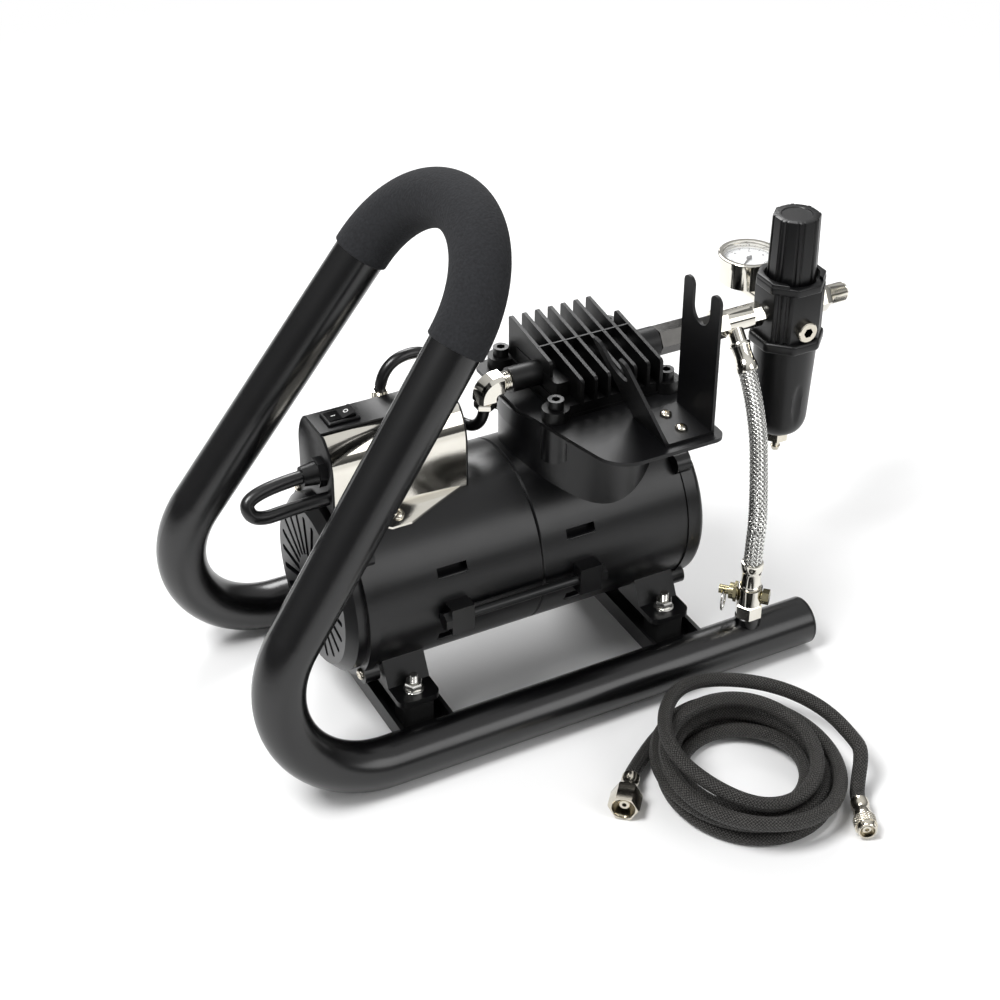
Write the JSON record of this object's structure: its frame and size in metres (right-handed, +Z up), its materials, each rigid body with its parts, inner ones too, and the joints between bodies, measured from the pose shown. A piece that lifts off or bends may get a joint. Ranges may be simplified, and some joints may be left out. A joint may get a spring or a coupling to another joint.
{
  "type": "air compressor",
  "caption": "Portable piston air compressor on a bent-tube frame that is its tank and handle, with filter regulator, gauge, rocker switch, airbrush holder and a coiled hose.",
  "frame": {"origin": "centre of the frame and compressor, at the floor, without the loose hose", "axes": "+X along the rails towards the regulator outlet, +Y to the back, +Z up"},
  "size_m": [0.4599, 0.3757, 0.343],
  "materials": {
    "frame_paint": "satin black paint",
    "black_cap": "matte black",
    "foam": "charcoal foam",
    "rubber": "matte",
    "motor_paint": "semi-gloss black paint",
    "zinc": "bright zinc",
    "black_oxide": "black oxide",
    "pale_brass": "turned pale brass",
    "steel": "ground steel",
    "chrome": "mirror plate",
    "brass": "turned brass",
    "black_plastic": "fine texture",
    "rocker_plastic": "gloss black",
    "cable": "black jacket",
    "steel_braid": "woven wire",
    "textile_braid": "grey-black woven cover",
    "dial_white": "printed white",
    "needle_red": "painted pointer",
    "lens": "clear"
  },
  "bodies": {
    "frame": {"tank_tube": "frame_paint", "tank_caps": "black_cap", "tank_boss": "frame_paint", "handle_grip": "foam", "cross_brackets": "frame_paint", "mount_bushes": "rubber", "mount_studs": "zinc", "mount_nuts": "zinc", "motor_feet": "motor_paint", "motor_shell": "motor_paint", "crankcase": "motor_paint", "fan_cover": "motor_paint", "crankcase_cover": "motor_paint", "tie_rods": "black_oxide", "holder_plate": "motor_paint", "valve_plate": "motor_paint", "cylinder_head": "motor_paint", "head_bolts": "black_oxide", "airbrush_holder": "motor_paint", "pan_screws": "zinc", "switch_shell": "chrome", "switch_frame": "black_plastic", "switch_bezel": "black_plastic", "cable_gland": "black_plastic", "motor_lead": "cable", "port_elbow": "chrome", "pressure_hose": "cable", "box_fitting": "chrome", "check_valve": "black_oxide", "outlet_tee": "chrome", "tank_hose": "steel_braid", "hose_ferrules": "chrome", "tank_fitting": "chrome", "safety_valve": "pale_brass", "fitting_plug": "pale_brass", "regulator_body": "black_plastic", "collar_ring": "black_plastic", "filter_bowl": "black_plastic", "drain_body": "pale_brass", "port_plug": "chrome", "gauge_elbow": "chrome", "gauge_case": "chrome", "gauge_dial": "dial_white", "gauge_lens": "lens", "outlet_nipple": "chrome", "air_hose": "textile_braid", "hose_end_nut": "chrome", "hose_end_small": "chrome"},
    "rotor": {"motor_shaft": "steel", "cooling_fan": "black_plastic"},
    "rocker": {"switch_rocker": "rocker_plastic"},
    "relief": {"relief_stem": "pale_brass"},
    "ring": {"pull_ring": "zinc"},
    "spindle": {"regulator_spindle": "brass"},
    "knob": {"regulator_knob": "black_plastic"},
    "drain": {"drain_stem": "pale_brass"},
    "needle": {"gauge_needle": "needle_red"}
  },
  "joints": [
    {"name": "rotor_spin", "type": "hinge", "parent": "frame", "child": "rotor", "pos_m": [-0.14, 0, 0.093], "axis": [1, 0, 0], "continuous": true},
    {"name": "rocker_tip", "type": "hinge", "parent": "frame", "child": "rocker", "pos_m": [-0.1315, 0.004, 0.2045], "axis": [0, 1, 0], "range_deg": [0, 16]},
    {"name": "knob_turn", "type": "hinge", "parent": "frame", "child": "spindle", "pos_m": [0.186, 0, 0.254], "axis": [0, 0, -1], "range_deg": [0, 1080]},
    {"name": "knob_lift", "type": "slide", "parent": "spindle", "child": "knob", "axis": [0, 0, 1], "range_m": [0, 0.003]},
    {"name": "needle_sweep", "type": "hinge", "parent": "frame", "child": "needle", "pos_m": [0.186, 0.048, 0.2145], "axis": [0, 0, -1], "range_deg": [0, 270]},
    {"name": "drain_push", "type": "slide", "parent": "frame", "child": "drain", "axis": [0, 0, 1], "range_m": [0, 0.003], "stiffness_N_per_m": 400, "springref_m": -0.002},
    {"name": "relief_pull", "type": "slide", "parent": "frame", "child": "relief", "axis": [-0.7071, 0.7071, 0], "range_m": [0, 0.003], "stiffness_N_per_m": 1500, "springref_m": -0.002},
    {"name": "ring_swing", "type": "hinge", "parent": "relief", "child": "ring", "pos_m": [0.09705, -0.07785, 0.0528], "axis": [0.7071, 0.7071, 0], "range_deg": [-15, 90]}
  ]
}
